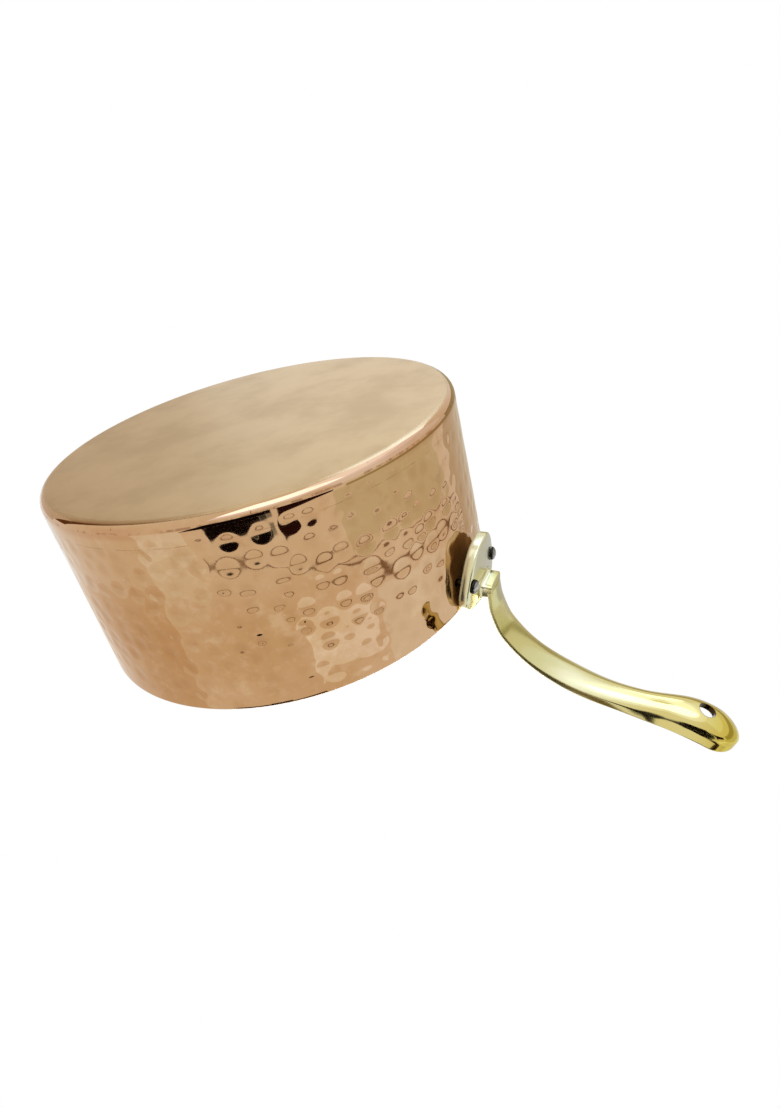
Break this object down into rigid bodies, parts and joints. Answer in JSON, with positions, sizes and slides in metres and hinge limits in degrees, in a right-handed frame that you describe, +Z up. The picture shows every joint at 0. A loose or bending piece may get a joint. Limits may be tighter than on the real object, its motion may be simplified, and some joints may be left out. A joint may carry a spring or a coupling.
{
  "type": "saucepan",
  "caption": "Round copper saucepan with a hammered wall, a flat base and one long curved brass handle riveted under the rim.",
  "frame": {"origin": "centre of the pan's flat underside, on the surface it rests on", "axes": "+Z up the pan's axis, +X from the pan's centre towards the handle's tip"},
  "size_m": [0.325, 0.206, 0.1662],
  "materials": {
    "hammered_copper": null,
    "lining_steel": "brushed",
    "polished_brass": "polished",
    "rivet_steel": "polished"
  },
  "bodies": {
    "root": {"pan_body": "hammered_copper", "steel_lining": "lining_steel", "brass_handle": "polished_brass", "rivet_left": "rivet_steel", "rivet_right": "rivet_steel"}
  },
  "joints": []
}
